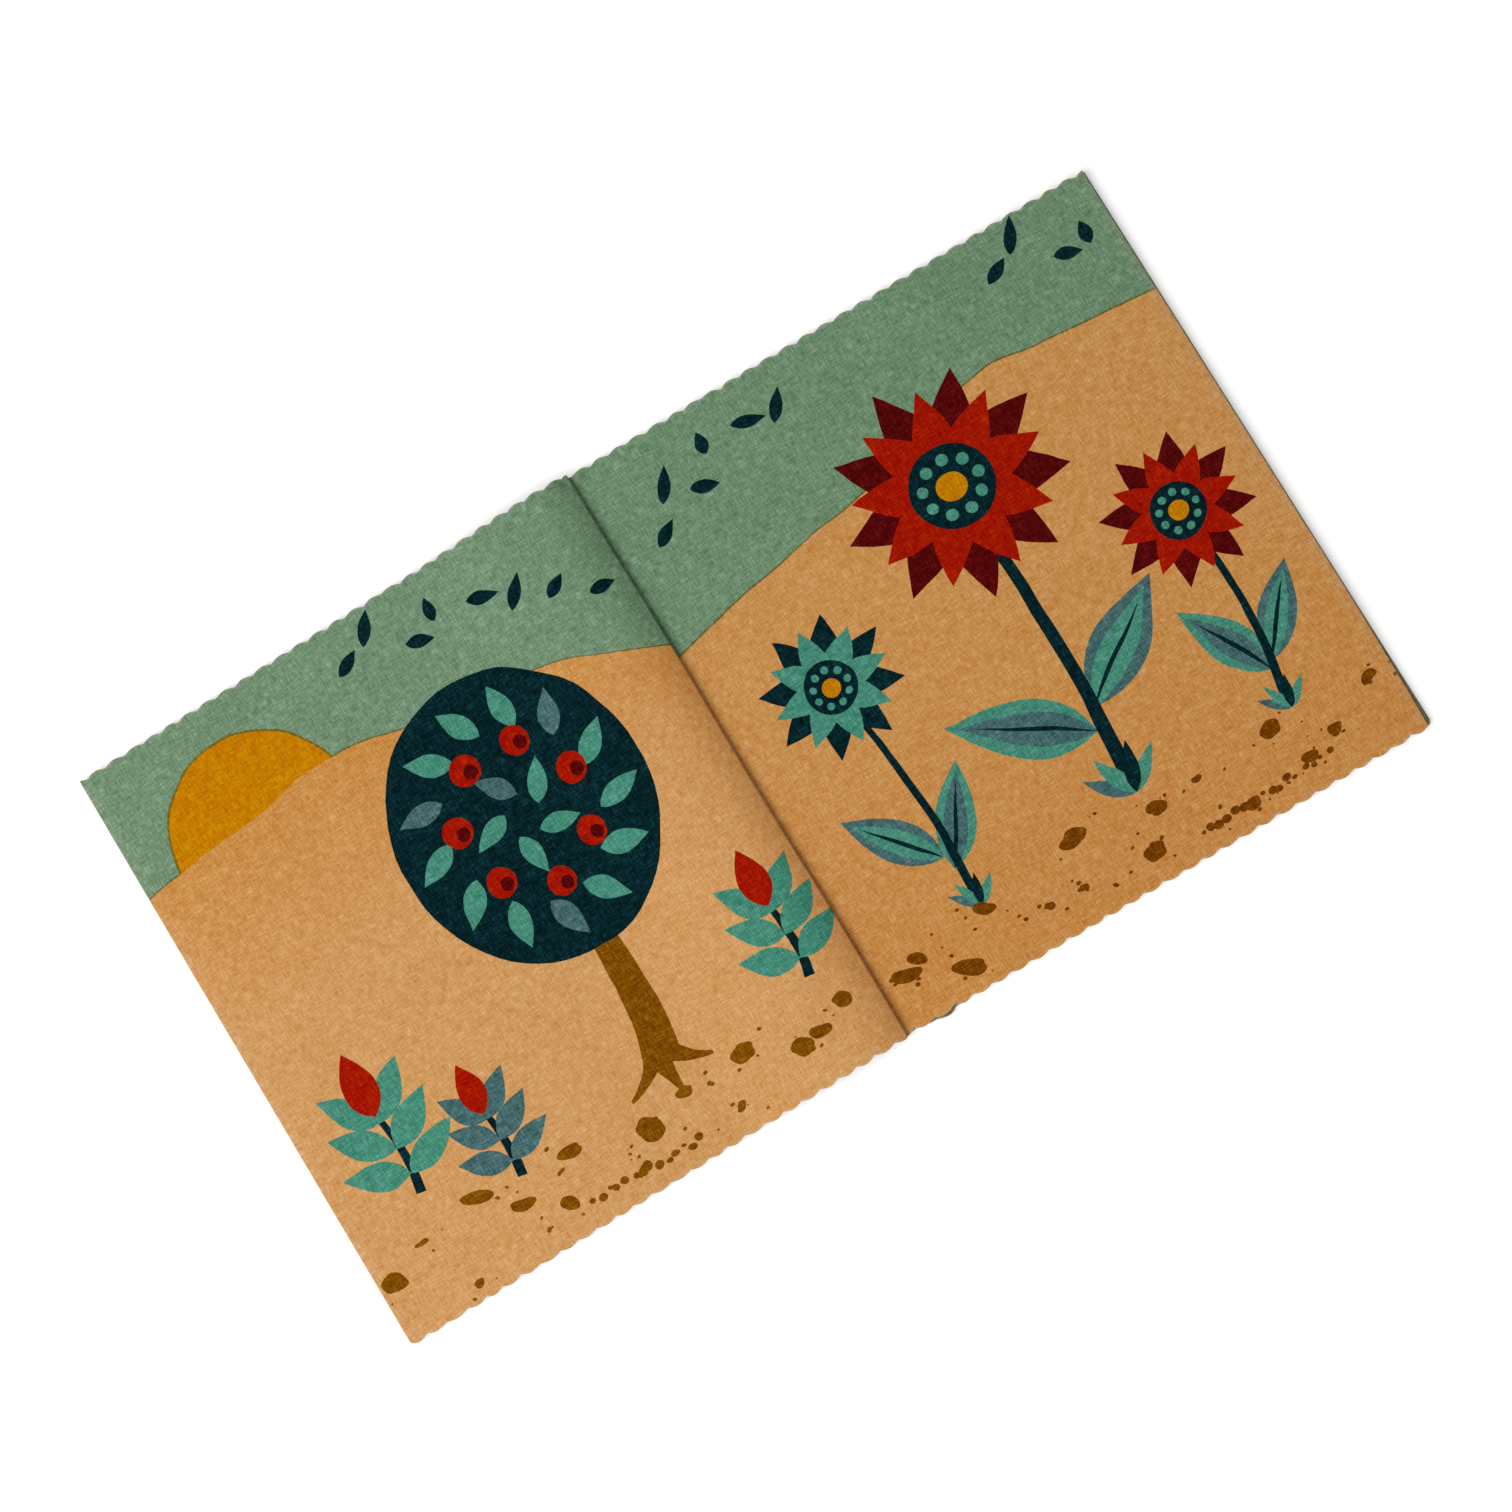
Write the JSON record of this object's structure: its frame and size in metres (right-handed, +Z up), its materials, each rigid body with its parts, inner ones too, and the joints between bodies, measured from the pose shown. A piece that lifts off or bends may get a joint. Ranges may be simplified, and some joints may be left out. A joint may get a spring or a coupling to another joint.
{
  "type": "cloth book",
  "caption": "Soft cloth book lying open at a spread, with pinked leaves folded double and sewn through along the spine; the left half turns over to close it.",
  "frame": {"origin": "middle of the open book's box, on the table under it", "axes": "+X along the spread towards the right-hand page's fore-edge, +Y up the page along the spine, +Z up from the table"},
  "size_m": [0.325, 0.1818, 0.0082],
  "materials": {
    "page_cloth": "matte printed plain-weave cotton",
    "cover_cloth": "matte plain-weave cotton",
    "thread": "spun sewing thread"
  },
  "bodies": {
    "right_half": {"back_cover": "cover_cloth", "right_pages": "page_cloth", "spine_stitching": "thread"},
    "left_half": {"front_cover": "cover_cloth", "left_pages": "page_cloth"}
  },
  "joints": [
    {"name": "spine_fold", "type": "hinge", "parent": "right_half", "child": "left_half", "pos_m": [-0.00345, 0, 0.00555], "axis": [0, 1, 0], "range_deg": [0, 179.5]}
  ]
}
